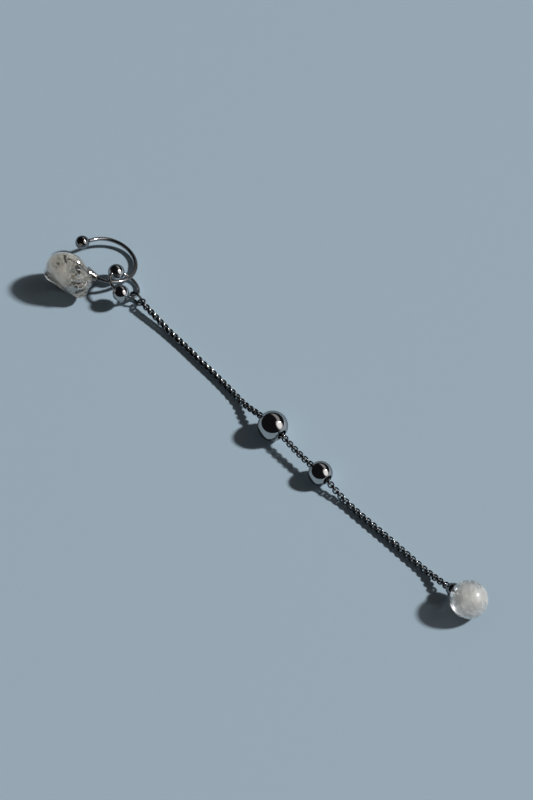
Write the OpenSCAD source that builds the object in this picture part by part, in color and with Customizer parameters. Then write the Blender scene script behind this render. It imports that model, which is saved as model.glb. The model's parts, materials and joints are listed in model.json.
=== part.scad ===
// Chain ear cuff, lying on a flat surface at z = 0 with its chain along +X.
// An open wire hoop grips the ear. It has a crystal nugget on one end and a small ball on the other.
// A ring with two balls is looped through the hoop, and two joining rings lead from it to a fine box
// chain with two sliding beads, which ends in a round quartz ball.

/* [Hoop] */
// Radius of the hoop, to the middle of its wire
hoop_r = 6.43; // [6.3:0.01:6.5]
// Diameter of the hoop's wire
hoop_wire_d = 0.86; // [0.7:0.02:0.9]
// How far the hoop's plane leans from level
hoop_lean = 18.4; // [17:0.1:19]
// Diameter of the ball soldered on the hoop's free end
end_ball_d = 3.1; // [2:0.1:3.2]
// Straight wire from the curve to the middle of that ball
end_ball_reach = 3.05; // [2.8:0.05:3.1]
// Diameter of the solder where the wire meets the ball
solder_d = 1.4; // [1:0.1:1.8]
// Straight wire that is fixed in the nugget
peg_l = 4.7; // [4:0.1:5]

/* [Crystal nugget] */
// Length of the nugget along the chain's direction
nugget_l = 10.7; // [10.5:0.1:10.9]
// Width of the nugget across the chain's direction
nugget_w = 7.5; // [7.3:0.05:7.6]
// Height of the nugget before its underside is ground flat
nugget_h = 10.4; // [10:0.1:10.5]
// Depth of the flat ground on the underside
nugget_flat = 0.25; // [0.1:0.05:0.4]
// Roundness of the nugget: 2 is an ellipsoid, more is squarer
nugget_square = 2.1; // [2:0.05:2.4]
// Length of the clear tip round the wire
tip_l = 2.8; // [2.6:0.1:3]
// Diameter of that tip's end
tip_d = 1.5; // [1.4:0.05:1.7]

/* [Ball ring] */
// Radius of the ring that is looped through the hoop, to the middle of its wire
ball_ring_r = 3.66; // [3.65:0.01:3.68]
// Diameter of that ring's wire
ball_ring_wire_d = 0.76; // [0.6:0.02:0.78]
// Diameter of each of the two balls soldered on the ring
ring_ball_d = 3.7; // [3.4:0.1:3.9]

/* [Joining rings] */
// Radius of the joining ring, to the middle of its wire
jump_ring_r = 1.46; // [1.45:0.01:1.48]
// Diameter of the joining ring's wire
jump_ring_wire_d = 0.54; // [0.4:0.02:0.56]
// Radius of the ring at the chain's end, to the middle of its wire
end_ring_r = 0.92; // [0.9:0.01:0.94]
// Diameter of the end ring's wire
end_ring_wire_d = 0.38; // [0.3:0.02:0.4]

/* [Chain] */
// Number of links
link_count = 119; // [118:1:120]
// Length of one link
link_l = 1.46; // [1.44:0.01:1.47]
// Width of one link
link_w = 1.44; // [1.4:0.01:1.46]
// Thickness of a link's strip
link_t = 0.24; // [0.2:0.01:0.24]
// Width of a link's strip
link_band = 0.56; // [0.5:0.01:0.57]
// Bevel on a link's corners
link_corner = 0.32; // [0.26:0.01:0.33]

/* [Beads] */
// Diameter of the large bead
bead_large_d = 6.55; // [6.4:0.05:6.7]
// Diameter of the small bead
bead_small_d = 5.18; // [5.1:0.02:5.3]
// Diameter of the hole through each bead
bead_bore_d = 2.3; // [2.25:0.05:2.4]
// Width of the flat rim round each end of a bead's hole
bead_rim = 0.2; // [0.1:0.05:0.3]

/* [Quartz ball and cap] */
// Diameter of the quartz ball
quartz_d = 8; // [7.8:0.1:8.1]
// Diameter of the cap's rim
cap_d = 3; // [2.8:0.1:3.1]
// Height of the cap from the ball to the top of its dome
cap_h = 1.75; // [1.7:0.05:1.8]
// Radius of the cap's loop, to the middle of its wire
cap_loop_r = 0.62; // [0.6:0.01:0.64]
// Diameter of the loop's wire
cap_loop_wire_d = 0.34; // [0.3:0.02:0.36]

/* [Hidden] */
$fn = 64;

silver = [0.75, 0.76, 0.77];
crystal = [0.62, 0.62, 0.6];

// Glue gap round a peg in its hole
peg_gap = 0.1;
// How much finer the wire's straight ends are, and how far they start inside the curve
wire_draw = 0.04;
wire_lap = 0.3;
// Length of the solder's slope on the wire
solder_h = 0.5;
// How far the nugget's hole starts before the wire runs straight
bore_lead = 0.6;
// The tip's place along the straight wire, and its width where it meets the stone
tip_start = 0.4;
tip_base_d = 3.4;

// Places, leans and turns of the pieces as the whole thing lies
hoop_at = [-55.6, 3.6, 2.9];
hoop_low_side = 71;
// Where the hoop's curve ends, in degrees round it from its low side
hoop_ball_end = 98.1;
hoop_nugget_end = -130;

nugget_turn = 11.7;
nugget_at = [-57.42, -6.24, nugget_h / 2 - nugget_flat];

ball_ring_at = [-48.32, 2.15, 2.54];
ball_ring_lean = 35.2;
ball_ring_low_side = 73;
// Where the two balls sit, in degrees round the ring from its low side
ring_ball_angles = [95.7, 230.7];

jump_ring_at = [-44.21, 2.16, 1.78];
jump_ring_lean = 90.9;
jump_ring_low_side = 103.4;

end_ring_at = [-42.65, 2.2, 1.61];
end_ring_lean = 22.5;
end_ring_low_side = 195.8;

bead_large_at = [1.7, 1.3, bead_large_d / 2];
bead_small_at = [16.9, 1.1, bead_small_d / 2];
bead_turn = -1;

quartz_at = [60, 2.45, quartz_d / 2];
// Turns of the cap's axis: round itself, up and down, and across
cap_turns = [110, -15, 4.2];

// Lays what is drawn flat on the XY plane at a point, with its low side toward a direction
module lay(at, lean, low_side) {
    translate(at)
    rotate([0, 0, low_side])
    rotate([0, lean, 0])
    children();
}

module wire_ring(r, wire_d) {
    rotate_extrude()
    translate([r, 0])
    circle(d = wire_d);
}

// Puts what is drawn along +Z where the hoop's curve ends, pointing on along the wire
module at_ball_end() {
    lay(hoop_at, hoop_lean, hoop_low_side)
    rotate([0, 0, hoop_ball_end])
    translate([hoop_r, 0, 0])
    rotate([-90, 0, 0])
    children();
}

module at_nugget_end() {
    lay(hoop_at, hoop_lean, hoop_low_side)
    rotate([0, 0, hoop_nugget_end])
    translate([hoop_r, 0, 0])
    rotate([90, 0, 0])
    children();
}

// Straight end of the wire, drawn a little finer, which starts inside the curve
module straight_wire(length) {
    translate([0, 0, -wire_lap])
    cylinder(d = hoop_wire_d - wire_draw, h = length + wire_lap);
}

// The hoop: bent wire with its ball and the solder round the joint, all one piece of metal
module cuff() {
    color(silver) {
        lay(hoop_at, hoop_lean, hoop_low_side)
        rotate([0, 0, hoop_nugget_end])
        rotate_extrude(angle = hoop_ball_end - hoop_nugget_end)
        translate([hoop_r, 0])
        circle(d = hoop_wire_d);

        at_ball_end() {
            solder_top = end_ball_reach - sqrt(pow(end_ball_d, 2) - pow(solder_d, 2)) / 2;
            straight_wire(end_ball_reach);
            translate([0, 0, solder_top - solder_h])
            cylinder(d1 = hoop_wire_d, d2 = solder_d, h = solder_h);
            translate([0, 0, end_ball_reach])
            sphere(d = end_ball_d);
        }

        at_nugget_end()
        straight_wire(peg_l);
    }
}

// Lumps and hollows of the nugget: direction as [across, up] in degrees, width in degrees, height
lumps = [
    [30, -5, 15, 0.6],
    [-19, -20, 19, 1.25],
    [194, -28, 17.5, 1.45],
    [87, 27, 25, 0.45],
    [-96, -28, 33, -1.1],
];

function toward(across, up) = [cos(across) * cos(up), sin(across) * cos(up), sin(up)];

function lump(u, row) =
    let (apart = acos(min(1, u * toward(row[0], row[1]))))
    row[3] * exp(-pow(apart / row[2], 2));

function sum(values, i = 0) = i < len(values) ? values[i] + sum(values, i + 1) : 0;

// Distance from the nugget's middle to its surface in the direction u
function nugget_reach(u) =
    pow(pow(abs(2 * u[0] / nugget_l), nugget_square)
        + pow(abs(2 * u[1] / nugget_w), nugget_square)
        + pow(abs(2 * u[2] / nugget_h), nugget_square), -1 / nugget_square)
    + sum([for (row = lumps) lump(u, row)]);

nugget_sides = 48;
nugget_rows = 24;
nugget_floor = nugget_flat - nugget_h / 2;

function nugget_point(across, up) =
    let (u = toward(across, up), p = u * nugget_reach(u))
    [p[0], p[1], max(p[2], nugget_floor)];

module nugget_body() {
    points = concat(
        [nugget_point(0, -90)],
        [for (row = [1 : nugget_rows - 1], side = [0 : nugget_sides - 1])
            nugget_point(360 * side / nugget_sides, -90 + 180 * row / nugget_rows)],
        [nugget_point(0, 90)]);
    top = len(points) - 1;
    last_row = top - nugget_sides;
    faces = concat(
        [for (side = [0 : nugget_sides - 1]) [0, 1 + side, 1 + (side + 1) % nugget_sides]],
        [for (row = [0 : nugget_rows - 3], side = [0 : nugget_sides - 1])
            let (a = 1 + row * nugget_sides + side,
                b = 1 + row * nugget_sides + (side + 1) % nugget_sides)
            each [[a, a + nugget_sides, b], [b, a + nugget_sides, b + nugget_sides]]],
        [for (side = [0 : nugget_sides - 1])
            [last_row + side, top, last_row + (side + 1) % nugget_sides]]);
    translate(nugget_at)
    rotate([0, 0, nugget_turn])
    polyhedron(points, faces);
}

module nugget() {
    color(crystal)
    difference() {
        union() {
            nugget_body();
            at_nugget_end()
            translate([0, 0, tip_start])
            cylinder(d1 = tip_d, d2 = tip_base_d, h = tip_l);
        }
        at_nugget_end()
        translate([0, 0, -bore_lead])
        cylinder(d = hoop_wire_d + 2 * peg_gap, h = peg_l + peg_gap + bore_lead);
    }
}

module ball_ring() {
    color(silver)
    lay(ball_ring_at, ball_ring_lean, ball_ring_low_side) {
        wire_ring(ball_ring_r, ball_ring_wire_d);
        for (angle = ring_ball_angles)
            rotate([0, 0, angle])
            translate([ball_ring_r, 0, 0])
            sphere(d = ring_ball_d);
    }
}

module jump_ring() {
    color(silver)
    lay(jump_ring_at, jump_ring_lean, jump_ring_low_side)
    wire_ring(jump_ring_r, jump_ring_wire_d);
}

module end_ring() {
    color(silver)
    lay(end_ring_at, end_ring_lean, end_ring_low_side)
    wire_ring(end_ring_r, end_ring_wire_d);
}

// The way the chain lies: [along, across, height] of its middle
route = [
    [-41.7, 2.1, 1.95],
    [-39.3, 2.05, 1.68],
    [-36.7, 2.05, 1.36],
    [-34.1, 2.0, 1.02],
    [-32.7, 1.95, 0.93],
    [-30, 2.0, 0.88],
    [-26, 2.0, 0.84],
    [-21.9, 1.9, 0.82],
    [-17.9, 1.9, 0.8],
    [-13.8, 1.8, 0.8],
    [-11.1, 1.65, 0.85],
    [-8.3, 1.43, 1.0],
    [-6.8, 1.31, 1.35],
    [-5.3, 1.23, 1.9],
    [-3.8, 1.24, 2.48],
    [-2.1, 1.26, 2.96],
    [-0.8, 1.28, 3.18],
    [1.7, 1.28, 3.22],
    [5.5, 1.2, 3.12],
    [8.6, 0.95, 2.8],
    [12.8, 0.93, 2.68],
    [16.9, 1.08, 2.62],
    [19.3, 1.05, 2.42],
    [20.5, 0.97, 2.05],
    [21.7, 1.0, 1.65],
    [22.8, 1.02, 1.3],
    [24, 0.98, 1.03],
    [25.3, 1.04, 0.88],
    [26.5, 1.08, 0.82],
    [29, 1.13, 0.79],
    [32.7, 1.33, 0.79],
    [37.6, 1.6, 0.79],
    [42.5, 1.76, 0.79],
    [46.2, 1.9, 0.79],
    [48.6, 2.0, 0.85],
    [49.9, 2.03, 1.1],
    [51.2, 2.02, 1.48],
    [52.5, 2.01, 1.91],
    [53.8, 2.0, 2.34],
];

// Roll of the links about the chain: [along, degrees]
rolls = [
    [-41.5, 6],
    [-38, 0],
    [-20, 0],
    [-9, 14],
    [3, 22],
    [12, 22],
    [24, 17],
    [33, 18],
    [45, 20],
];

route_start = -41.47;
route_end = 53.07;
// How far to each side the route is averaged, and in how many steps
smooth_reach = 1.6;
smooth_steps = 4;

function column(c) = [for (row = route) [row[0], row[c]]];

across_rows = column(1);
height_rows = column(2);

// Mean of a table over a short stretch, so that the chain bends in a curve
function smooth(x, rows) =
    sum([for (k = [-smooth_steps : smooth_steps])
        lookup(x + k * smooth_reach / smooth_steps, rows)]) / (2 * smooth_steps + 1);

function route_point(x) = [x, smooth(x, across_rows), smooth(x, height_rows)];

route_steps = 400;
step_points = [for (k = [0 : route_steps])
    route_point(route_start + (route_end - route_start) * k / route_steps)];

// Length of chain up to each step: [length, along]
lengths = [for (k = 0, s = 0; k <= route_steps;
        k = k + 1, s = k > route_steps ? s : s + norm(step_points[k] - step_points[k - 1]))
    [s, step_points[k][0]]];

link_pitch = lengths[route_steps][0] / (link_count - 1);

function chamfered(x0, x1, w, corner) = [
    [x0 + corner, -w / 2],
    [x1 - corner, -w / 2],
    [x1, -w / 2 + corner],
    [x1, w / 2 - corner],
    [x1 - corner, w / 2],
    [x0 + corner, w / 2],
    [x0, w / 2 - corner],
    [x0, -w / 2 + corner],
];

// One box link in the XY plane. The chain's end links are longer by back or front.
module link(back, front) {
    x0 = -link_l / 2 - back;
    x1 = link_l / 2 + front;
    inner_corner = link_corner - link_t * (2 - sqrt(2));
    linear_extrude(height = link_band, center = true)
    difference() {
        polygon(chamfered(x0, x1, link_w, link_corner));
        polygon(chamfered(x0 + link_t, x1 - link_t, link_w - 2 * link_t, inner_corner));
    }
}

end_link_extra = 0.22;

module chain() {
    color(silver)
    for (i = [0 : link_count - 1]) {
        x = lookup(i * link_pitch, lengths);
        way = route_point(x + link_l / 4) - route_point(x - link_l / 4);
        roll = lookup(x, rolls) + 90 * ((i + 1) % 2);
        translate(route_point(x))
        rotate([roll, -atan2(way[2], norm([way[0], way[1]])), atan2(way[1], way[0])])
        link(i == 0 ? end_link_extra : 0, i == link_count - 1 ? end_link_extra : 0);
    }
}

// A ball drilled through along the chain, with a flat rim round each end of its hole
module bead(at, d) {
    rim_d = bead_bore_d + 2 * bead_rim;
    flat_h = sqrt(pow(d, 2) - pow(rim_d, 2)) / 2;
    translate(at)
    rotate([0, 0, bead_turn])
    rotate([0, 90, 0])
    difference() {
        sphere(d = d);
        cylinder(d = bead_bore_d, h = 2 * d, center = true);
        for (side = [-1, 1])
            translate([0, 0, side * (flat_h + d / 2)])
            cube(d, center = true);
    }
}

module bead_large() {
    color(silver)
    bead(bead_large_at, bead_large_d);
}

module bead_small() {
    color(silver)
    bead(bead_small_at, bead_small_d);
}

// The cap's side, from its rim up: [in from the rim, up from the rim]
cap_side = [
    [0, 0],
    [0, 0.75],
    [0.1, 1],
    [0.3, 1.25],
    [0.4, 1.55],
    [0.62, 1.8],
];
// The cap's hollow rim: the width of its lip, and the lip's bevel
cap_lip = 0.5;
cap_bevel = 0.12;
// Flat on top of the dome, and the slope round it
cap_flat_r = 0.25;
cap_slope = [0.25, 0.12];

// The hidden peg, and the gap between the cap and the ball
cap_peg_d = 0.7;
cap_peg_l = 2.4;
cap_seat_gap = 0.08;
// How deep the loop's wire is set in the dome
cap_loop_sink = 0.085;

// Puts what is drawn along +Z on the cap's axis, from the middle of the quartz ball outward
module on_cap_axis() {
    translate(quartz_at)
    rotate(cap_turns)
    rotate([0, -90, 0])
    children();
}

// A turned bell with a collar and a dome, a loop for the chain, and a peg glued in the ball
module end_cap() {
    ball_r = quartz_d / 2;
    rim_r = cap_d / 2;
    seat = sqrt(pow(ball_r, 2) - pow(rim_r, 2)) + cap_seat_gap;
    under = ball_r + cap_seat_gap;
    top = under + cap_h;
    color(silver)
    on_cap_axis() {
        rotate_extrude()
        polygon(concat(
            [[0, under], [rim_r - cap_lip, under], [rim_r - cap_bevel, seat + cap_bevel / 4]],
            [for (row = cap_side) [rim_r - row[0], seat + row[1]]],
            [[cap_flat_r + cap_slope[0], top - cap_slope[1]], [cap_flat_r, top], [0, top]]));
        translate([0, 0, under - cap_peg_l])
        cylinder(d = cap_peg_d, h = cap_peg_l + cap_bevel);
        translate([0, 0, top + cap_loop_r - cap_loop_sink])
        rotate([90, 0, 0])
        wire_ring(cap_loop_r, cap_loop_wire_d);
    }
}

module quartz_ball() {
    color(crystal)
    difference() {
        translate(quartz_at)
        sphere(d = quartz_d);
        on_cap_axis()
        translate([0, 0, quartz_d / 2 - cap_peg_l - peg_gap])
        cylinder(d = cap_peg_d + 2 * peg_gap, h = quartz_d);
    }
}

cuff();
nugget();
ball_ring();
jump_ring();
end_ring();
chain();
bead_large();
bead_small();
end_cap();
quartz_ball();
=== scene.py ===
import json
import math
import random

import bmesh
import bpy
import numpy as np
from mathutils import Euler, Matrix, Vector

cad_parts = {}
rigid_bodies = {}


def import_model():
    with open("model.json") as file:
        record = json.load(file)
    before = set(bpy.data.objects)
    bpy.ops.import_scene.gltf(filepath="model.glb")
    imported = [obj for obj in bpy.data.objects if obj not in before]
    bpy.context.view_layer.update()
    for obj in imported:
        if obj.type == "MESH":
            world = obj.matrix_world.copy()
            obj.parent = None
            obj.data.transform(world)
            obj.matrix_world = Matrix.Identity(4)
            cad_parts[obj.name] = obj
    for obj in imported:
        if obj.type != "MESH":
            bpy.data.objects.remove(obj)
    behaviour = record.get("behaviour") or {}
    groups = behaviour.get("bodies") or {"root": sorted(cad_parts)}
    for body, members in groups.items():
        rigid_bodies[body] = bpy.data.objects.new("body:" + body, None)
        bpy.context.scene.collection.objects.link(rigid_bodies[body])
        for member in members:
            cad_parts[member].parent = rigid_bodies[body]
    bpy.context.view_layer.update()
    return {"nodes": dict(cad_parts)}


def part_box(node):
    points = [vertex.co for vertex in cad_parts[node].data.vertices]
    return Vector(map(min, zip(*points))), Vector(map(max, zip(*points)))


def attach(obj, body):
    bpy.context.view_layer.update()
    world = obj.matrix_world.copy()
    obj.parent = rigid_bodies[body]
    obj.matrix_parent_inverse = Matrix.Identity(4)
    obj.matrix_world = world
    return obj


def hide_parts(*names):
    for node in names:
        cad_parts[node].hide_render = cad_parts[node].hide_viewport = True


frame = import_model()
bpy.ops.object.select_all(action="DESELECT")

# Hoop
# The hoop that grips the ear is one length of polished silver wire, bent round and drawn straight
# at both ends. A ball is soldered on one end, and the other end is the peg that the stone is glued on.
# Sizes are given in mm and angles in degrees. A lean tips a flat piece toward its low side.
MM = 0.001
same_place = 0.01 * MM
doubles_apart = 0.001 * MM
hoop_radius = 6.43 * MM
hoop_wire = 0.86 * MM
hoop_sides = 28
hoop_steps = 120
hoop_place = (-55.6 * MM, 3.6 * MM, 2.9 * MM)
hoop_lean = 18.4
hoop_low_side = 71
hoop_ball_end = 98.1
hoop_nugget_end = -130
end_ball = 3.1 * MM
end_ball_reach = 3.05 * MM
end_ball_steps = 24
solder_width = 1.4 * MM
solder_length = 0.5 * MM
solder_steps = 6
solder_flare = 2.2
peg_length = 4.7 * MM
peg_width = 0.82 * MM
polish_depth = 0.002 * MM


def lay(place, lean, low_side):
    """The matrix that lays a piece drawn flat, with its low side toward a direction in degrees."""
    turn = Matrix.Rotation(math.radians(low_side), 4, "Z")
    return Matrix.Translation(place) @ turn @ Matrix.Rotation(math.radians(lean), 4, "Y")


def settle(piece, matrix):
    """Puts a finished mesh where it lies and leaves its object at the origin."""
    bpy.ops.object.select_all(action="DESELECT")
    piece.select_set(True)
    bpy.context.view_layer.objects.active = piece
    piece.matrix_world = matrix
    bpy.ops.object.transform_apply(location=True, rotation=True, scale=True)


def named(name):
    """The primitive just added, with its name, its place moved into its mesh, in edit mode."""
    piece = bpy.context.object
    piece.name = name
    piece.data.name = name
    bpy.ops.object.transform_apply(location=True, rotation=True, scale=True)
    bpy.ops.object.mode_set(mode="EDIT")
    bpy.ops.mesh.select_mode(type="VERT")
    return piece


def pick(piece, wanted):
    """Selects, in edit mode, the points whose place is wanted."""
    bpy.ops.mesh.select_all(action="DESELECT")
    mesh = bmesh.from_edit_mesh(piece.data)
    for point in mesh.verts:
        point.select = wanted(point.co)
    mesh.select_flush(True)
    bmesh.update_edit_mesh(piece.data)


def draw_out(start, way, rows):
    """Extrudes the selected ring straight on, to each row's distance and radius, and closes it."""
    done, radius = rows[0]
    for distance, wanted in rows[1:]:
        step = way * (distance - done)
        bpy.ops.mesh.extrude_region_move(TRANSFORM_OT_translate={"value": step})
        bpy.ops.transform.resize(
            value=(wanted / radius,) * 3, center_override=start + way * distance)
        done, radius = distance, wanted
    bpy.ops.mesh.extrude_region_move()
    bpy.ops.mesh.merge(type="CENTER")


def close_up():
    """Merges doubles, points the faces outward, leaves edit mode and shades the piece smooth."""
    bpy.ops.mesh.select_all(action="SELECT")
    bpy.ops.mesh.remove_doubles(threshold=doubles_apart)
    bpy.ops.mesh.normals_make_consistent(inside=False)
    bpy.ops.object.mode_set(mode="OBJECT")
    bpy.ops.object.shade_smooth()


def hoop_end(angle):
    """The middle of the wire at an angle round the hoop, and the way it runs there."""
    angle = math.radians(angle)
    spot = Vector((hoop_radius * math.cos(angle), hoop_radius * math.sin(angle), 0))
    return spot, Vector((-math.sin(angle), math.cos(angle), 0))


def pick_end(spot):
    """Selects the wire's last ring of points round a spot."""
    pick(hoop, lambda co: abs((co - spot).length - hoop_wire / 2) < same_place)


bpy.ops.mesh.primitive_circle_add(vertices=hoop_sides, radius=hoop_wire / 2,
    location=(hoop_radius, 0, 0), rotation=(math.pi / 2, 0, 0))
hoop = named("hoop_with_ball")
nugget_spot, nugget_way = hoop_end(hoop_nugget_end)
ball_spot, ball_way = hoop_end(hoop_ball_end)
bpy.ops.mesh.select_all(action="SELECT")
hoop_arc = math.radians(hoop_ball_end - hoop_nugget_end)
bpy.ops.mesh.spin(steps=hoop_steps, angle=-hoop_arc, center=(0, 0, 0), axis=(0, 0, 1))
bpy.ops.object.mode_set(mode="OBJECT")
settle(hoop, Matrix.Rotation(math.radians(hoop_nugget_end), 4, "Z"))
bpy.ops.object.mode_set(mode="EDIT")

ball_radius = end_ball / 2
touch = math.asin(solder_width / end_ball)
solder_end = end_ball_reach - ball_radius * math.cos(touch)
solder_start = solder_end - solder_length
ball_rows = [(0, hoop_wire / 2), (solder_start, hoop_wire / 2)]
for k in range(1, solder_steps + 1):
    rise = k / solder_steps
    width = hoop_wire / 2 + (solder_width - hoop_wire) / 2 * rise ** solder_flare
    ball_rows.append((solder_start + solder_length * rise, width))
for k in range(1, end_ball_steps):
    around = touch + (math.pi - touch) * k / end_ball_steps
    ball_rows.append(
        (end_ball_reach - ball_radius * math.cos(around), ball_radius * math.sin(around)))
pick_end(ball_spot)
draw_out(ball_spot, ball_way, ball_rows)

peg_rows = [(0, hoop_wire / 2), (0.05 * MM, peg_width / 2), (peg_length - 0.1 * MM, peg_width / 2),
    (peg_length - 0.03 * MM, peg_width * 0.45), (peg_length, peg_width * 0.33)]
pick_end(nugget_spot)
draw_out(nugget_spot, -nugget_way, peg_rows)
close_up()
hoop_lie = lay(hoop_place, hoop_lean, hoop_low_side)
settle(hoop, hoop_lie)


def feed(tree, target, inputs):
    """Gives a node its inputs, each a plain value or another node's output."""
    for name, value in inputs.items():
        if isinstance(value, bpy.types.NodeSocket):
            tree.links.new(value, target.inputs[name])
        else:
            target.inputs[name].default_value = value


def add(tree, kind, output, inputs, **settings):
    """Adds a node with its settings and inputs, and gives back one of its outputs."""
    made = tree.nodes.new("ShaderNode" + kind)
    for name, value in settings.items():
        setattr(made, name, value)
    feed(tree, made, inputs)
    return made.outputs[output]


def blend(tree, factor, first, second):
    """A colour between two others."""
    return add(tree, "Mix", "Result", {"Factor": factor, "A": first, "B": second},
        data_type="RGBA")


def finish_group(name, numbers, colours):
    """A node group that makes a colour, a roughness and a height out of a place and its inputs."""
    tree = bpy.data.node_groups.new(name, "ShaderNodeTree")
    face = tree.interface
    face.new_socket(name="Place", in_out="INPUT", socket_type="NodeSocketVector")
    for title, value in numbers.items():
        socket = face.new_socket(name=title, in_out="INPUT", socket_type="NodeSocketFloat")
        socket.default_value = value
    for title in colours:
        face.new_socket(name=title, in_out="INPUT", socket_type="NodeSocketColor")
    face.new_socket(name="Color", in_out="OUTPUT", socket_type="NodeSocketColor")
    face.new_socket(name="Roughness", in_out="OUTPUT", socket_type="NodeSocketFloat")
    face.new_socket(name="Height", in_out="OUTPUT", socket_type="NodeSocketFloat")
    return tree, tree.nodes.new("NodeGroupInput").outputs, tree.nodes.new("NodeGroupOutput")


def silver_group():
    """Silver's finish: haze left by handling, and fine lines left by the polishing wheel."""
    numbers = {"Line Scale": 2400.0, "Haze Scale": 420.0, "Smooth": 0.03, "Hazy": 0.12}
    tree, given, end = finish_group("silver_polish", numbers, ("Bright", "Dull"))
    haze = add(tree, "TexNoise", "Fac",
        {"Vector": given["Place"], "Scale": given["Haze Scale"], "Detail": 3})
    spread = add(tree, "MapRange", "Result", {"Value": haze, "From Min": 0.42, "From Max": 0.72})
    lines = add(tree, "TexNoise", "Fac",
        {"Vector": given["Place"], "Scale": given["Line Scale"], "Detail": 2})
    rough = add(tree, "MapRange", "Result",
        {"Value": spread, "To Min": given["Smooth"], "To Max": given["Hazy"]})
    feed(tree, end, {"Color": blend(tree, spread, given["Bright"], given["Dull"]),
        "Roughness": rough, "Height": lines})
    return tree


silver_polish = silver_group()


def new_finish(name):
    """A new material, its node tree and its shader."""
    material = bpy.data.materials.new(name)
    material.use_nodes = True
    return material, material.node_tree, material.node_tree.nodes["Principled BSDF"]


def place_on(tree):
    """The place on the piece, for a pattern that stays with it."""
    return tree.nodes.new("ShaderNodeTexCoord").outputs["Object"]


def silver(name, bright, dull, smooth, hazy, relief):
    """A polished silver finish with its own tones, gloss and depth of relief."""
    material, tree, shader = new_finish(name)
    polish = tree.nodes.new("ShaderNodeGroup")
    polish.node_tree = silver_polish
    feed(tree, polish, {"Place": place_on(tree), "Smooth": smooth, "Hazy": hazy,
        "Bright": (*bright, 1), "Dull": (*dull, 1)})
    bump = add(tree, "Bump", "Normal",
        {"Strength": relief, "Distance": polish_depth, "Height": polish.outputs["Height"]})
    feed(tree, shader, {"Metallic": 1, "IOR": 1.5, "Specular Tint": (0.35, 0.35, 0.36, 1),
        "Base Color": polish.outputs["Color"], "Roughness": polish.outputs["Roughness"],
        "Normal": bump})
    return material


def finish_piece(piece, material, slot, *nodes):
    """Gives a piece its material, hangs it on the root body and hides the solids that it stands for."""
    piece.data.materials.clear()
    piece.data.materials.append(material)
    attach(piece, "root")
    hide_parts(*nodes)


wire_silver = silver("wire_silver", (0.32, 0.32, 0.33), (0.25, 0.25, 0.24), 0.04, 0.12, 0.3)
finish_piece(hoop, wire_silver, "polished_silver", "cuff")

# Crystal nugget
# A tumbled quartz pebble, milky in its dome and clear in the folds round the wire. It is drilled
# and glued on the hoop's peg, and its underside is flat where it lies.
nugget_grain = 0.15 * MM
nugget_middle = Vector((-57.42, -6.24, 4.95)) * MM
clear_way = Vector((0.844, 0.478, -0.242))
# The milk is puffs of small flakes, and so are the streaks: places, reaches and steps are in mm
milk_places = 110
milk_reach = (4.6, 4, 4.6)
milk_shift = 0.8
milk_spread = 1.3 * MM
milk_flake = 0.2 * MM
flakes_together = 32
flake_flatness = 0.4
flake_growth = (0.6, 1.3)
clear_skin = 0.12 * MM
streak_step = 0.3
streak_flake = 0.17 * MM
streak_flakes = 9

nugget_mesh = frame["nodes"]["nugget"].data.copy()
nugget = bpy.data.objects.new("nugget_stone", nugget_mesh)
bpy.context.scene.collection.objects.link(nugget)
nugget.select_set(True)
bpy.context.view_layer.objects.active = nugget
bpy.ops.object.mode_set(mode="EDIT")
bpy.ops.mesh.select_all(action="SELECT")
bpy.ops.mesh.remove_doubles(threshold=doubles_apart)
bpy.ops.object.mode_set(mode="OBJECT")
grain = nugget.modifiers.new("grain", "REMESH")
grain.mode = "VOXEL"
grain.voxel_size = nugget_grain
bpy.ops.object.modifier_apply(modifier="grain")

# How high each fold stands, how far it reaches, and its places from the stone's middle, in mm
nugget_folds = (
    (-0.4, 0.9, ((-1.1, 0, 5.1), (0.1, 0.7, 5.1), (1.5, 1.6, 4.6), (2.9, 2.4, 3.5), (3.9, 3, 1.8))),
    (-0.35, 0.8, ((-0.7, 0.2, 5.2), (1, -0.6, 5), (1.7, -1.5, 4.5))),
    (0.3, 0.7, ((2.8, -0.6, 4.4), (3.1, 0.5, 4.3), (3.8, 1.2, 3.6))),
    (-0.5, 0.7, ((3.8, -1.8, 2.1), (4.7, -0.9, 1.7), (5.1, 0.6, 1.4))),
    (0.3, 0.6, ((4.6, -1.6, 0.9), (5.3, -0.4, 0.7), (5.3, 1.1, 0.7))),
)


def lift_along(piece, spots, reach, height):
    """Raises a smooth fold along a line of places on a piece, or sinks one if its height is less
    than 0."""
    points = np.array([tuple(point.co) for point in piece.data.vertices])
    away = np.full(len(points), 1.0)
    for start, end in zip(spots, spots[1:]):
        run = np.array(end - start)
        part = np.clip((points - np.array(start)) @ run / (run @ run), 0, 1)
        apart = points - np.array(start) - part[:, None] * run
        away = np.minimum(away, np.sqrt((apart ** 2).sum(1)))
    share = np.clip(1 - away / reach, 0, 1)
    fold = piece.vertex_groups.new(name="fold")
    for index in np.nonzero(share)[0]:
        value = float(share[index])
        fold.add([int(index)], value * value * (3 - 2 * value), "REPLACE")
    lift = piece.modifiers.new("lift", "DISPLACE")
    lift.mid_level = 0
    lift.strength = height
    lift.vertex_group = "fold"
    bpy.ops.object.modifier_apply(modifier="lift")
    piece.vertex_groups.remove(piece.vertex_groups["fold"])


for height, reach, places in nugget_folds:
    spots = [nugget_middle + Vector(place) * MM for place in places]
    lift_along(nugget, spots, reach * MM, height * MM)
soften = nugget.modifiers.new("soften", "SMOOTH")
soften.factor = 0.5
soften.iterations = 3
bpy.ops.object.modifier_apply(modifier="soften")
bpy.ops.object.shade_smooth()


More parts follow.
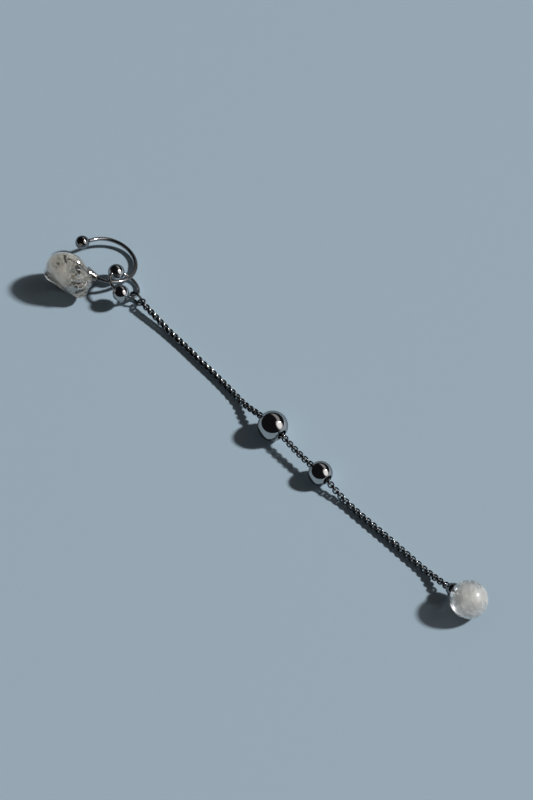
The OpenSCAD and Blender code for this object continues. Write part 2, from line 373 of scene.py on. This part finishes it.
def quartz_group():
    """Quartz's finish: milk that thins out unevenly, and ripples that are deepest where it is clear."""
    numbers = {"Milk": 1.0, "Patch Scale": 350.0, "Ripple Scale": 400.0, "Clear Rough": 0.02,
        "Milky Rough": 0.3}
    tree, given, end = finish_group("quartz_milk", numbers, ("Clear", "Milky"))
    patches = add(tree, "TexNoise", "Fac",
        {"Vector": given["Place"], "Scale": given["Patch Scale"], "Detail": 4})
    milk = add(tree, "Math", "Value", {0: patches, 1: given["Milk"]}, operation="ADD")
    spread = add(tree, "MapRange", "Result", {"Value": milk, "From Min": 0.7, "From Max": 1.3})
    rough = add(tree, "MapRange", "Result",
        {"Value": spread, "To Min": given["Clear Rough"], "To Max": given["Milky Rough"]})
    ripple = add(tree, "TexNoise", "Fac",
        {"Vector": given["Place"], "Scale": given["Ripple Scale"], "Detail": 1})
    calm = add(tree, "MapRange", "Result", {"Value": spread, "To Min": 1, "To Max": 0.15})
    height = add(tree, "Math", "Value", {0: ripple, 1: calm}, operation="MULTIPLY")
    feed(tree, end, {"Color": blend(tree, spread, given["Clear"], given["Milky"]),
        "Roughness": rough, "Height": height})
    return tree


quartz_milk = quartz_group()


def let_through(tree, rays, colour):
    """Lets some rays straight through a finish, dimmed by a colour."""
    through = add(tree, "BsdfTransparent", "BSDF", {"Color": colour})
    finish = tree.nodes["Principled BSDF"].outputs["BSDF"]
    mix = add(tree, "MixShader", "Shader", {"Fac": rays, 1: finish, 2: through})
    feed(tree, tree.nodes["Material Output"], {"Surface": mix})


def quartz(name, clear, milky, roughs, rim_gloss, shade, fade, ripple):
    """A polished quartz finish. Its milk fades along fade's direction, from one distance to another,
    and the stone lets a little of a lamp's light through to the floor, but most of it to its milk."""
    material, tree, shader = new_finish(name)
    place = place_on(tree)
    fade_way, fade_start, fade_end = fade
    ahead = add(tree, "VectorMath", "Value", {0: place, 1: fade_way}, operation="DOT_PRODUCT")
    thin = add(tree, "MapRange", "Result", {"Value": ahead, "From Min": fade_start,
        "From Max": fade_end, "To Min": 1, "To Max": 0})
    milk = tree.nodes.new("ShaderNodeGroup")
    milk.node_tree = quartz_milk
    feed(tree, milk, {"Place": place, "Milk": thin, "Clear Rough": roughs[0],
        "Milky Rough": roughs[1], "Clear": (*clear, 1), "Milky": (*milky, 1)})
    facing = add(tree, "LayerWeight", "Facing", {"Blend": 0.5})
    rim = add(tree, "MapRange", "Result", {"Value": facing, "From Min": 0.4, "From Max": 0.95,
        "To Min": 1, "To Max": rim_gloss})
    gloss = add(tree, "Math", "Value", {0: milk.outputs["Roughness"], 1: rim},
        operation="MULTIPLY")
    bump = add(tree, "Bump", "Normal",
        {"Strength": 1, "Distance": ripple, "Height": milk.outputs["Height"]})
    feed(tree, shader, {"IOR": 1.54, "Transmission Weight": 1, "Coat Weight": 1,
        "Coat Roughness": 0.13, "Base Color": milk.outputs["Color"], "Roughness": gloss,
        "Normal": bump})
    side = tree.nodes.new("ShaderNodeNewGeometry").outputs["Backfacing"]
    path = tree.nodes.new("ShaderNodeLightPath").outputs
    passing = add(tree, "Math", "Value",
        {0: path["Is Shadow Ray"], 1: path["Is Diffuse Ray"]}, operation="MAXIMUM")
    let_through(tree, passing, blend(tree, side, (shade, shade, shade, 1), (1, 1, 1, 1)))
    return material


def milk_finish(name, dark, pale):
    """The cloudy flakes inside a stone, which hardly shade each other from a lamp."""
    material, tree, shader = new_finish(name)
    clouds = add(tree, "TexNoise", "Fac", {"Vector": place_on(tree), "Scale": 550, "Detail": 3})
    feed(tree, shader, {"Base Color": blend(tree, clouds, (*dark, 1), (*pale, 1)),
        "Roughness": 0.7})
    shadow_rays = tree.nodes.new("ShaderNodeLightPath").outputs["Is Shadow Ray"]
    let_through(tree, shadow_rays, (0.97, 0.97, 0.97, 1))
    return material


def in_ball(dice):
    """A random place in a ball of radius 1."""
    while True:
        spot = Vector((dice.uniform(-1, 1), dice.uniform(-1, 1), dice.uniform(-1, 1)))
        if spot.length < 1:
            return spot


def spun(dice):
    """A random turn."""
    return Euler([dice.uniform(-math.pi, math.pi) for axis in range(3)]).to_matrix().to_4x4()


def scatter(piece, matrices, name):
    """Joins copies of a piece, one for each matrix, and removes the piece itself."""
    copies = []
    for matrix in matrices:
        copy = piece.copy()
        copy.data = piece.data.copy()
        bpy.context.scene.collection.objects.link(copy)
        settle(copy, matrix)
        copies.append(copy)
    bpy.data.objects.remove(piece)
    bpy.ops.object.select_all(action="DESELECT")
    for copy in copies:
        copy.select_set(True)
    bpy.context.view_layer.objects.active = copies[0]
    bpy.ops.object.join()
    joined = bpy.context.object
    joined.name = name
    joined.data.name = name
    return joined


def milk_flakes(name, seed, stone, centres, spread, size, flakes, hole):
    """Scatters cloudy flakes round each centre, all inside the stone and clear of its hole."""
    dice = random.Random(seed)
    bpy.ops.mesh.primitive_ico_sphere_add(subdivisions=1, radius=size)
    flake = bpy.context.object
    flake.scale = (1, 1, flake_flatness)
    flake = named(name)
    bpy.ops.object.mode_set(mode="OBJECT")
    bpy.ops.object.shade_smooth()
    puff = []
    for k in range(flakes):
        grown = Matrix.Scale(dice.uniform(*flake_growth), 4)
        puff.append(Matrix.Translation(in_ball(dice) * spread) @ spun(dice) @ grown)
    puff = scatter(flake, puff, name)
    cloud = scatter(puff, [Matrix.Translation(centre) @ spun(dice) for centre in centres], name)
    hole_start, hole_way, hole_radius = hole
    hole_way = hole_way.normalized()

    def outside(co):
        spot, normal = stone.closest_point_on_mesh(co)[1:3]
        along = (co - hole_start).dot(hole_way)
        beside = (co - hole_start - hole_way * along).length
        return (co - spot).dot(normal) > -clear_skin or (along > 0 and beside < hole_radius)

    bpy.ops.object.mode_set(mode="EDIT")
    bpy.ops.mesh.select_mode(type="VERT")
    pick(cloud, outside)
    bpy.ops.mesh.select_linked()
    bpy.ops.mesh.delete(type="VERT")
    bpy.ops.object.mode_set(mode="OBJECT")
    return cloud


nugget_fade = (clear_way, clear_way.dot(nugget_middle) - 0.5 * MM,
    clear_way.dot(nugget_middle) + 1.5 * MM)
nugget_quartz = quartz("nugget_quartz", (0.43, 0.41, 0.375), (0.92, 0.915, 0.875), (0.12, 0.42), 0.5,
    0.05, nugget_fade, 0.08 * MM)
finish_piece(nugget, nugget_quartz, "nugget_crystal", "nugget")
nugget_peg_end = nugget_middle + Vector((1.23, 2.28, 0.39)) * MM
nugget_peg_way = hoop_lie.to_3x3() @ nugget_way
nugget_hole = (nugget_peg_end - nugget_peg_way * 0.4 * MM, nugget_peg_way, 0.75 * MM)
dice = random.Random(3)
nugget_puffs = []
while len(nugget_puffs) < milk_places:
    puff_spot = Vector(
        [part * reach - milk_shift for part, reach in zip(in_ball(dice), milk_reach)])
    if puff_spot.dot(clear_way) < dice.uniform(-0.5, 2.4):
        nugget_puffs.append(nugget_middle + puff_spot * MM)
nugget_milk = milk_flakes("nugget_milk", 5, nugget, nugget_puffs, milk_spread, milk_flake,
    flakes_together, nugget_hole)
nugget_cloud = milk_finish("nugget_cloud", (0.36, 0.35, 0.32), (0.9, 0.87, 0.8))
finish_piece(nugget_milk, nugget_cloud, "nugget_crystal", "nugget")

# Painted reflections in the clear part: dark streaks for the dark room seen there and pale streaks
# for highlights. Their ends from the stone's middle, in mm
dark_reflection_streaks = (((-1.3, 0.6, 4.2), (0.3, -0.4, 4.4)), ((-1, -1.4, 4), (-0.8, -1.2, 4)),
    ((-0.2, 0.9, 4.3), (1.1, 1.2, 4.1)), ((2.2, 1, 3.8), (3.5, 0.4, 3.2)),
    ((3.6, -1.3, 1.4), (4.1, -0.4, 1)), ((4.1, -0.4, 1), (4.5, 0.6, 0.6)),
    ((1.3, 1.6, 3.9), (2.4, 2.1, 3)), ((2.4, 2.1, 3), (3.3, 2.5, 1.7)),
    ((4, 0.4, -1.4), (3.7, -0.8, -1.7)))
highlight_streaks = (((2.4, -1.3, 3.1), (3.1, -1.4, 2.1)), ((4.2, -0.6, 0.2), (4.4, 0.4, 0)),
    ((3.6, -0.4, 2.5), (4.1, 0.3, 2)))


def streaks(name, seed, rows, spread):
    """Flakes strung along lines in the nugget, so that each line shows as a streak."""
    spots = []
    for start, end in rows:
        run = Vector(end) - Vector(start)
        for k in range(int(run.length / streak_step) + 1):
            along = Vector(start) + run.normalized() * streak_step * k
            spots.append(nugget_middle + along * MM)
    return milk_flakes(name, seed, nugget, spots, spread, streak_flake, streak_flakes, nugget_hole)


# Dark flakes painted as the room's dark reflection in the clear part
nugget_dark_reflections = streaks("nugget_dark_reflections", 11, dark_reflection_streaks, 0.32 * MM)
painted_dark_reflection = milk_finish("painted_dark_reflection", (0.015, 0.014, 0.013), (0.06, 0.055, 0.05))
finish_piece(nugget_dark_reflections, painted_dark_reflection, "nugget_crystal", "nugget")
# Pale flakes painted as highlights in the clear part
nugget_highlights = streaks("nugget_highlights", 12, highlight_streaks, 0.3 * MM)
pale = milk_finish("pale", (0.6, 0.58, 0.55), (0.95, 0.93, 0.9))
finish_piece(nugget_highlights, pale, "nugget_crystal", "nugget")

# Ball ring
# A silver ring looped through the hoop, with two solid balls threaded on it and soldered fast.
# The solder fills the corner where the wire goes into each ball.
ring_radius = 3.66 * MM
ring_wire = 0.76 * MM
ring_ball = 3.7 * MM
ring_place = (-48.32 * MM, 2.15 * MM, 2.54 * MM)
ring_lean = 35.2
ring_low_side = 73
ring_ball_angles = (95.7, 230.7)
ring_sides = 32
ring_steps = 240
# The solder's two rings beside each ball, by their steps from its middle: radius and shift outward
solder_rings = {19: (0.54 * MM, -0.05 * MM), 20: (0.43 * MM, -0.015 * MM)}

bpy.ops.mesh.primitive_torus_add(major_radius=ring_radius, minor_radius=ring_wire / 2,
    major_segments=ring_steps, minor_segments=ring_sides)
ball_ring = named("ball_ring_silver")
bpy.ops.object.mode_set(mode="OBJECT")
settle(ball_ring, Matrix.Rotation(math.radians(ring_ball_angles[0]), 4, "Z"))
bpy.ops.object.mode_set(mode="EDIT")
ring_step = 2 * math.pi / ring_steps
far_step = max(solder_rings)
for ball_angle in ring_ball_angles:
    for k in range(-far_step, far_step + 1):
        turn = math.radians(ball_angle) + k * ring_step
        out = Vector((math.cos(turn), math.sin(turn), 0))
        side = Vector((-out.y, out.x, 0))
        half = ring_radius * math.sin(abs(k) * ring_step)
        if abs(k) in solder_rings:
            width, shift = solder_rings[abs(k)]
        else:
            width = math.sqrt((ring_ball / 2) ** 2 - half ** 2)
            shift = ring_radius * (math.cos(k * ring_step) - 1)
        pick(ball_ring, lambda co: abs(co.dot(side)) < same_place and co.dot(out) > 0)
        bpy.ops.transform.resize(
            value=(2 * width / ring_wire,) * 3, center_override=out * ring_radius)
        bpy.ops.transform.translate(value=out * shift)
close_up()
settle(ball_ring, lay(ring_place, ring_lean, ring_low_side))
ball_silver = silver("ball_silver", (0.53, 0.53, 0.53), (0.45, 0.44, 0.43), 0.02, 0.07, 0.15)
finish_piece(ball_ring, ball_silver, "polished_silver", "ball_ring")

# Joining rings
# Two rings of round silver wire join the ball ring to the chain. Each is cut once, opened to
# thread it, and pressed shut again, which leaves a hairline where its ends meet.
jump_radius = 1.46 * MM
jump_wire = 0.54 * MM
jump_place = (-44.21 * MM, 2.16 * MM, 1.78 * MM)
jump_lean = 90.9
jump_low_side = 103.4
jump_cut_turn = 40
end_radius = 0.92 * MM
end_wire = 0.38 * MM
end_place = (-42.65 * MM, 2.2 * MM, 1.61 * MM)
end_lean = 22.5
end_low_side = 195.8
end_cut_turn = 100
ring_cut = 0.03 * MM
cut_edge = 0.03 * MM


def joining_ring(name, radius, wire, lie, cut_turn):
    """A round wire ring where it lies, with its cut turned that far round from its low side."""
    bpy.ops.mesh.primitive_circle_add(vertices=16, radius=wire / 2,
        location=(radius, 0, 0), rotation=(math.pi / 2, 0, 0))
    ring = named(name)
    bpy.ops.mesh.select_all(action="SELECT")
    bpy.ops.mesh.spin(steps=72, angle=2 * math.pi - ring_cut / radius,
        center=(0, 0, 0), axis=(0, 0, 1))
    bpy.ops.mesh.select_all(action="DESELECT")
    bpy.ops.mesh.select_non_manifold()
    bpy.ops.mesh.edge_face_add()
    bpy.ops.mesh.bevel(offset=cut_edge, segments=2)
    close_up()
    bpy.ops.object.shade_smooth_by_angle(angle=math.radians(50))
    settle(ring, lie @ Matrix.Rotation(math.radians(cut_turn), 4, "Z"))
    return ring


jump_lie = lay(jump_place, jump_lean, jump_low_side)
end_lie = lay(end_place, end_lean, end_low_side)
jump_ring = joining_ring("joining_ring", jump_radius, jump_wire, jump_lie, jump_cut_turn)
end_ring = joining_ring("chain_end_ring", end_radius, end_wire, end_lie, end_cut_turn)
ring_silver = silver("ring_silver", (0.17, 0.17, 0.17), (0.1, 0.1, 0.1), 0.05, 0.16, 0.2)
finish_piece(jump_ring, ring_silver, "polished_silver", "jump_ring")
finish_piece(end_ring, ring_silver, "polished_silver", "end_ring")

# Chain
# A fine box chain. Each link is a domed strip of silver bent into a rounded box and soldered shut
# through the links beside it, turned a quarter from each of them. Its insides and the edges of its
# band are painted dark as shade.
link_length = 1.46 * MM
link_width = 1.44 * MM
link_strip = 0.24 * MM
link_band = 0.56 * MM
link_round = 0.56 * MM
# The strip's domed section: each row's height as a share of its width, and the link's size there
link_dome = ((-0.5, 0.92), (-0.3, 0.985), (0, 1), (0.3, 0.985), (0.5, 0.92))
# Painted shade: the middle share of the band left polished, the polish left at its edges, and the dark
# colour painted there and inside
link_edge = 0.4
edge_painted_shade_mix = 0.15
painted_shade_colour = (0.02, 0.02, 0.02)

links_mesh = frame["nodes"]["chain"].data.copy()
links = bpy.data.objects.new("chain_places", links_mesh)
bpy.context.scene.collection.objects.link(links)
bpy.ops.object.select_all(action="DESELECT")
links.select_set(True)
bpy.context.view_layer.objects.active = links
bpy.ops.object.mode_set(mode="EDIT")
bpy.ops.mesh.select_all(action="SELECT")
bpy.ops.mesh.remove_doubles(threshold=doubles_apart)
bpy.ops.mesh.separate(type="LOOSE")
bpy.ops.object.mode_set(mode="OBJECT")
link_solids = []
for solid in list(bpy.context.selected_objects):
    points = np.array([tuple(point.co) for point in solid.data.vertices])
    middle = points.mean(0)
    axes = np.linalg.eigh((points - middle).T @ (points - middle))[1]
    link_solids.append((middle, points - middle, Vector(axes[:, 0])))
    bpy.data.objects.remove(solid)
link_solids.sort(key=lambda solid: solid[0][0])
link_places = []
for k, (middle, away, band_way) in enumerate(link_solids):
    before = link_solids[max(k - 1, 0)][0]
    after = link_solids[min(k + 1, len(link_solids) - 1)][0]
    along = Vector(after - before)
    along = (along - band_way * along.dot(band_way)).normalized()
    stretch = float(np.ptp(away @ np.array(along))) / link_length
    turned = Matrix((along, band_way.cross(along), band_way)).transposed().to_4x4()
    link_places.append(Matrix.Translation(middle) @ turned @ Matrix.Diagonal((stretch, 1, 1, 1)))

bpy.ops.mesh.primitive_plane_add(size=1)
link = bpy.context.object
link.scale = (link_length * link_dome[0][1], link_width * link_dome[0][1], 1)
link = named("box_chain")
bpy.ops.mesh.select_all(action="SELECT")
bpy.ops.mesh.bevel(affect="VERTICES", offset=link_round, segments=4)
bpy.ops.mesh.delete(type="ONLY_FACE")
bpy.ops.mesh.select_all(action="SELECT")
bpy.ops.transform.translate(value=(0, 0, -link_band / 2))
for (low, size), (high, wider) in zip(link_dome, link_dome[1:]):
    bpy.ops.mesh.extrude_region_move(
        TRANSFORM_OT_translate={"value": (0, 0, link_band * (high - low))})
    bpy.ops.transform.resize(value=(wider / size, wider / size, 1), center_override=(0, 0, 0))
bpy.ops.mesh.select_all(action="SELECT")
bpy.ops.mesh.normals_make_consistent(inside=False)
bpy.ops.object.mode_set(mode="OBJECT")
outside = len(link.data.vertices)
strip = link.modifiers.new("strip", "SOLIDIFY")
strip.thickness = link_strip
strip.offset = -1
bpy.ops.object.modifier_apply(modifier="strip")
bpy.ops.object.shade_smooth()
# Painted shade: 1 on the middle of each link's outer band, less on its edges and 0 on its insides
painted_shade_mix = link.data.attributes.new("painted_shade_mix", "FLOAT", "POINT")
for point, value in zip(link.data.vertices, painted_shade_mix.data):
    unshaded_share = 1.0 if abs(point.co.z) < link_band * link_edge else edge_painted_shade_mix
    value.value = unshaded_share if point.index < outside else 0.0
chain = scatter(link, link_places, "box_chain")
chain_silver = silver("chain_silver", (0.5, 0.5, 0.5), (0.35, 0.35, 0.34), 0.04, 0.12, 0.1)
chain_tree = chain_silver.node_tree
chain_shader = chain_tree.nodes["Principled BSDF"]
polished = chain_shader.inputs["Base Color"].links[0].from_socket
# The links' insides and band edges are painted dark as shade, over the polished colour
painted_shade_parts = add(chain_tree, "Attribute", "Fac", {}, attribute_name="painted_shade_mix")
feed(chain_tree, chain_shader,
    {"Base Color": blend(chain_tree, painted_shade_parts, (*painted_shade_colour, 1), polished)})
finish_piece(chain, chain_silver, "polished_silver", "chain")

# Sliding beads
# Two solid silver beads, drilled through and polished, that slide on the chain. Each hole has a
# narrow flat turned round it and a polished edge.
bead_bore = 2.3 * MM
bead_rim = 0.2 * MM
bead_edge = 0.06 * MM
bead_edge_steps = 6
bead_rings = 64
bead_sides = 96
bead_turn = math.radians(-1)


def turned_shape(name, rows, steps):
    """Turns a profile of (radius, height) rows about Z, as on a lathe."""
    bpy.ops.mesh.primitive_plane_add(size=MM)
    piece = named(name)
    bpy.ops.mesh.select_all(action="SELECT")
    bpy.ops.mesh.merge(type="CENTER")
    bpy.ops.mesh.select_all(action="SELECT")
    done = Vector((0, 0, 0))
    for k, (radius, height) in enumerate(rows):
        spot = Vector((radius, 0, height))
        if k == 0:
            bpy.ops.transform.translate(value=spot)
        else:
            bpy.ops.mesh.extrude_region_move(TRANSFORM_OT_translate={"value": spot - done})
        done = spot
    bpy.ops.mesh.select_all(action="SELECT")
    bpy.ops.mesh.spin(steps=steps, angle=2 * math.pi, center=(0, 0, 0), axis=(0, 0, 1))
    close_up()
    return piece


def sliding_bead(name, node):
    """A drilled bead in its place on the chain, as large as the solid that it stands for."""
    low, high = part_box(node)
    middle = (low + high) / 2
    radius = (high.y - low.y) / 2
    hole = bead_bore / 2
    rim = hole + bead_rim
    flat = math.sqrt(radius ** 2 - rim ** 2)
    mouth_rows = []
    for k in range(bead_edge_steps + 1):
        around = math.pi / 2 * k / bead_edge_steps
        mouth_rows.append((hole + bead_edge * (1 - math.cos(around)),
            flat - bead_edge * (1 - math.sin(around))))
    side_rows = []
    rim_turn = math.asin(rim / radius)
    for k in range(bead_rings + 1):
        around = rim_turn + (math.pi - 2 * rim_turn) * k / bead_rings
        side_rows.append((radius * math.sin(around), radius * math.cos(around)))
    far_rows = [(out, -up) for out, up in reversed(mouth_rows)]
    bead = turned_shape(name, mouth_rows + side_rows + far_rows + mouth_rows[:1], bead_sides)
    bpy.ops.object.shade_smooth_by_angle(angle=math.radians(20))
    turned = Matrix.Rotation(bead_turn, 4, "Z") @ Matrix.Rotation(math.pi / 2, 4, "Y")
    settle(bead, Matrix.Translation(middle) @ turned)
    finish_piece(bead, ball_silver, "polished_silver", node)


sliding_bead("large_bead_silver", "bead_large")
sliding_bead("small_bead_silver", "bead_small")

# Quartz ball
# A round ball of milky quartz, clear at its rim, polished all over and drilled part way in for
# the cap's peg, which is glued there.
quartz_low, quartz_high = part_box("quartz_ball")
quartz_middle = (quartz_low + quartz_high) / 2
quartz_radius = (quartz_high.y - quartz_low.y) / 2
bore_radius = 0.45 * MM
bore_depth = 2.5 * MM
quartz_rings = 71
quartz_sides = 128
ball_milk_places = 40
ball_milk_reach = 2.3
ball_milk_shift = 0.3
ball_milk_spread = 1.2 * MM
ball_milk_flake = 0.19 * MM
cap_turns = (110, -15, 4.2)


def cap_lie():
    """The matrix that turns Z to the cap's axis, out from the middle of the quartz ball."""
    around, lift, across = (math.radians(turn) for turn in cap_turns)
    turned = Matrix.Rotation(across, 4, "Z") @ Matrix.Rotation(lift, 4, "Y")
    turned = turned @ Matrix.Rotation(around, 4, "X") @ Matrix.Rotation(-math.pi / 2, 4, "Y")
    return Matrix.Translation(quartz_middle) @ turned


first = math.asin(bore_radius / quartz_radius)
ball_profile = [(0, quartz_radius - bore_depth), (bore_radius * 0.9, quartz_radius - bore_depth),
    (bore_radius, quartz_radius - bore_depth + 0.05 * MM)]
for k in range(quartz_rings + 1):
    around = first + (math.pi - first) * k / quartz_rings
    ball_profile.append((quartz_radius * math.sin(around), quartz_radius * math.cos(around)))
quartz_ball = turned_shape("quartz_ball_stone", ball_profile, quartz_sides)
settle(quartz_ball, cap_lie())
cap_out = cap_lie().to_3x3() @ Vector((0, 0, 1))
ball_fade = (cap_out, cap_out.dot(quartz_middle) + 0.5 * MM, cap_out.dot(quartz_middle) + 3 * MM)
ball_quartz = quartz("ball_quartz", (0.95, 0.95, 0.95), (0.95, 0.945, 0.93), (0.1, 0.45), 0.1,
    0.06, ball_fade, 0.02 * MM)
finish_piece(quartz_ball, ball_quartz, "quartz", "quartz_ball")
dice = random.Random(8)
ball_puffs = []
for k in range(ball_milk_places):
    puff_spot = in_ball(dice) * ball_milk_reach - cap_out * ball_milk_shift
    ball_puffs.append(quartz_middle + puff_spot * MM)
ball_hole = (quartz_middle + cap_out * 0.7 * MM, cap_out, 0.7 * MM)
ball_milk = milk_flakes("quartz_ball_milk", 9, quartz_ball, ball_puffs, ball_milk_spread,
    ball_milk_flake, flakes_together, ball_hole)
ball_cloud = milk_finish("ball_cloud", (0.72, 0.715, 0.69), (0.98, 0.97, 0.94))
finish_piece(ball_milk, ball_cloud, "quartz", "quartz_ball")

# End cap
# A turned silver bell with a collar and a dome. Its peg is glued in the quartz ball, and a loop
# of wire soldered in the dome holds the last link of the chain.
cap_radius = 1.5 * MM
cap_height = 1.75 * MM
cap_gap = 0.08 * MM
cap_peg_radius = 0.35 * MM
cap_peg_length = 2.4 * MM
cap_loop_radius = 0.62 * MM
cap_loop_wire = 0.34 * MM
cap_loop_sink = 0.085 * MM
cap_sides = 64
# The bell's side: how far in from its rim and how far up from its seat each row is, in mm
cap_side = ((0.12, 0.03), (0.03, 0.02), (0, 0.1), (0, 0.65), (0.03, 0.76), (0.1, 0.95),
    (0.18, 1.08), (0.3, 1.2), (0.33, 1.28), (0.38, 1.5), (0.45, 1.66), (0.6, 1.8), (0.8, 1.92))

under = quartz_radius + cap_gap
seat = math.sqrt(quartz_radius ** 2 - cap_radius ** 2) + cap_gap
top = under + cap_height
cap_profile = [(0, under - cap_peg_length), (cap_peg_radius * 0.8, under - cap_peg_length),
    (cap_peg_radius, under - cap_peg_length + 0.08 * MM), (cap_peg_radius, under),
    (cap_radius - 0.5 * MM, under)]
cap_profile += [(cap_radius - inward * MM, seat + up * MM) for inward, up in cap_side]
cap_profile += [(0.5 * MM, top - 0.12 * MM), (0.25 * MM, top), (0, top)]
cap = turned_shape("end_cap_silver", cap_profile, cap_sides)
bpy.ops.mesh.primitive_torus_add(major_radius=cap_loop_radius, minor_radius=cap_loop_wire / 2,
    major_segments=48, minor_segments=14, rotation=(math.pi / 2, 0, 0),
    location=(0, 0, top + cap_loop_radius - cap_loop_sink))
bpy.ops.object.transform_apply(location=True, rotation=True, scale=True)
bpy.ops.object.shade_smooth()
cap.select_set(True)
bpy.context.view_layer.objects.active = cap
bpy.ops.object.join()
settle(cap, cap_lie())
finish_piece(cap, wire_silver, "polished_silver", "end_cap")

# Floor, light and view
# A plain pale floor in a dark room with two soft windows. The key light comes from the upper
# right, with a weak fill from above, and the camera looks down on the piece as the photograph does.
look_from = Vector((220.96, -197.9, 461.21)) * MM
look_at = Vector((-5.69, 6.18, 0)) * MM
lens = 115.3
key_way = Vector((0.4165, 0.6283, 0.657))
key_strength = 2.5
key_width = 6
fill_way = Vector((-0.2, 0.1, 1))
fill_strength = 0.14
fill_width = 150
# Each window: its middle and half its width and height, as a polished ball shows them in its
# radii, then its brightness and how soft its edge is
square_window = (0.45, 0.07, 0.17, 0.23, 1.4, 0.35)
narrow_window = (0.31, 0.52, 0.09, 0.2, 0.4, 0.5)
room_dark = (0.009, 0.009, 0.011, 1)
room_bright = (1, 0.98, 0.97, 1)
floor_size = 6

bpy.ops.mesh.primitive_plane_add(size=floor_size)
floor = bpy.context.object
floor.name = "floor"
floor_finish, floor_tree, floor_shader = new_finish("floor_finish")
feed(floor_tree, floor_shader, {"Base Color": (0.52, 0.67, 0.785, 1), "Roughness": 0.7})
floor.data.materials.append(floor_finish)


def sunlight(name, way, strength, width):
    """A lamp far off in a direction, as wide in the sky as its width in degrees."""
    lamp = bpy.data.lights.new(name, "SUN")
    lamp.energy = strength
    lamp.angle = math.radians(width)
    lamp_object = bpy.data.objects.new(name, lamp)
    lamp_object.rotation_mode = "QUATERNION"
    lamp_object.rotation_quaternion = way.to_track_quat("Z", "Y")
    lamp_object.visible_transmission = False
    bpy.context.scene.collection.objects.link(lamp_object)
    return lamp_object


sunlight("key", key_way, key_strength, key_width)
fill = sunlight("fill", fill_way, fill_strength, fill_width)
fill.visible_glossy = False

look_way = (look_from - look_at).normalized()
right_way = Vector((0, 0, 1)).cross(look_way).normalized()
up_way = look_way.cross(right_way)

world = bpy.data.worlds.new("room")
world.use_nodes = True
room = world.node_tree
room_way = room.nodes.new("ShaderNodeTexCoord").outputs["Generated"]


def mirrored(right, up):
    """The direction seen in a polished ball at a place given in its radii, as the camera sees it."""
    out = right_way * right + up_way * up + look_way * math.sqrt(1 - right ** 2 - up ** 2)
    return out * (2 * out.dot(look_way)) - look_way


def room_math(operation, first, second):
    """One step of the room's sums, on two numbers or sockets."""
    return add(room, "Math", "Value", {0: first, 1: second}, operation=operation)


def room_dot(way):
    """How far a direction of the room lies along another."""
    return add(room, "VectorMath", "Value", {0: room_way, 1: way}, operation="DOT_PRODUCT")


def window(right, up, wide, tall, bright, soft):
    """A soft-edged bright patch of the room, placed by where a polished ball shows it."""
    centre = mirrored(right, up)
    squares = []
    for end in (mirrored(right + wide, up), mirrored(right, up + tall)):
        axis = end - centre * end.dot(centre)
        squares.append(room_math("POWER", room_dot(axis.normalized() / axis.length), 2))
    fade = add(room, "MapRange", "Result", {"Value": room_math("ADD", *squares),
        "From Min": (1 + soft) ** 2, "From Max": (1 - soft) ** 2, "To Max": bright},
        interpolation_type="SMOOTHSTEP")
    ahead = room_math("GREATER_THAN", room_dot(centre), 0)
    return room_math("MULTIPLY", fade, ahead)


glow = room_math("MAXIMUM", window(*square_window), window(*narrow_window))
room_tone = add(room, "Mix", "Result", {"Factor": glow, "A": room_dark, "B": room_bright},
    data_type="RGBA", clamp_factor=False)
feed(room, room.nodes["Background"], {"Color": room_tone})
world.cycles_visibility.diffuse = False
world.cycles_visibility.transmission = False
bpy.context.scene.world = world
bpy.context.scene.view_settings.view_transform = "Standard"

view = bpy.data.cameras.new("view")
view.lens = lens
view.sensor_width = 36
view.clip_start = 0.01
camera = bpy.data.objects.new("view", view)
camera.location = look_from
camera.rotation_mode = "QUATERNION"
camera.rotation_quaternion = (look_from - look_at).to_track_quat("Z", "Y")
bpy.context.scene.collection.objects.link(camera)
bpy.context.scene.camera = camera
